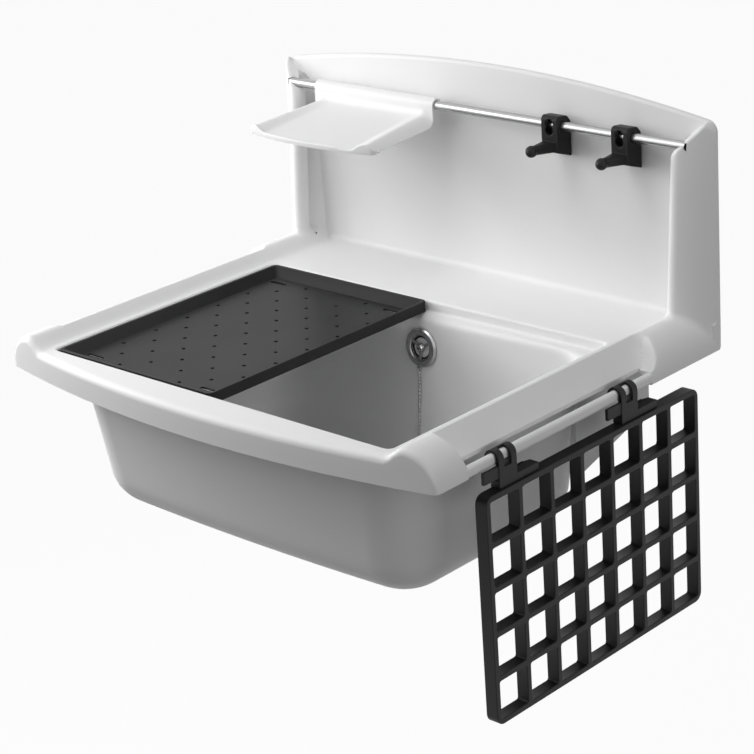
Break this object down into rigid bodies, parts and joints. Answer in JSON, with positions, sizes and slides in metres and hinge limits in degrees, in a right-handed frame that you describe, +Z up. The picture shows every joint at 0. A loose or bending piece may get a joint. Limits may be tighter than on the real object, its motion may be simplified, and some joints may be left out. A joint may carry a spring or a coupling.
{
  "type": "mop service sink",
  "caption": "Wall-hung moulded service sink with splashback, steel rail, soap tray, coat hooks, drainer tray, side grating, plug on a chain and overflow waste.",
  "frame": {"origin": "on the wall plane, on the sink's middle line, at the level of the deck", "axes": "+X along the wall to the right, +Y into the wall, +Z up"},
  "size_m": [0.608, 0.476, 0.5281],
  "materials": {
    "moulding": "satin white moulded plastic",
    "steel": "polished stainless steel",
    "white_plastic": "satin white",
    "black_plastic": "fine matt black",
    "chrome": "polished chrome plate",
    "rubber": "soft black rubber",
    "dark_pipe": "dark grey pipe plastic",
    "hose_grey": "grey ribbed hose",
    "pipe_white": "white pipe plastic"
  },
  "bodies": {
    "sink": {"sink_moulding": "moulding", "steel_rail": "steel", "overflow_rosette": "chrome", "overflow_screw": "steel", "overflow_seal": "rubber", "overflow_elbow": "dark_pipe", "overflow_hose": "hose_grey", "plug_chain": "chrome", "drain_flange": "chrome", "drain_seal": "rubber", "drain_screw": "steel", "waste_seal": "rubber", "waste_body": "pipe_white"},
    "soap": {"soap_tray": "white_plastic"},
    "hook_l": {"hook_left": "black_plastic"},
    "hook_r": {"hook_right": "black_plastic"},
    "drainer": {"drainer_tray": "black_plastic"},
    "grating": {"side_grating": "black_plastic", "grating_clip_front": "black_plastic", "grating_clip_rear": "black_plastic"},
    "stopper": {"plug": "rubber", "plug_ring": "chrome"}
  },
  "joints": [
    {"name": "soap_slide", "type": "slide", "parent": "sink", "child": "soap", "axis": [1, 0, 0], "range_m": [-0.004, 0.07]},
    {"name": "hook_left_slide", "type": "slide", "parent": "sink", "child": "hook_l", "axis": [1, 0, 0], "range_m": [-0.07, 0.03]},
    {"name": "hook_right_slide", "type": "slide", "parent": "sink", "child": "hook_r", "axis": [1, 0, 0], "range_m": [-0.03, 0.03]},
    {"name": "drainer_slide", "type": "slide", "parent": "sink", "child": "drainer", "axis": [1, 0, 0], "range_m": [0, 0.238]},
    {"name": "grating_hinge", "type": "hinge", "parent": "sink", "child": "grating", "pos_m": [0.296, -0.25, -0.0235], "axis": [0, -1, 0], "range_deg": [0, 60]},
    {"name": "plug_lift", "type": "slide", "parent": "sink", "child": "stopper", "axis": [0, 0, 1], "range_m": [0, 0.02], "deforming": ["plug_chain"]}
  ]
}
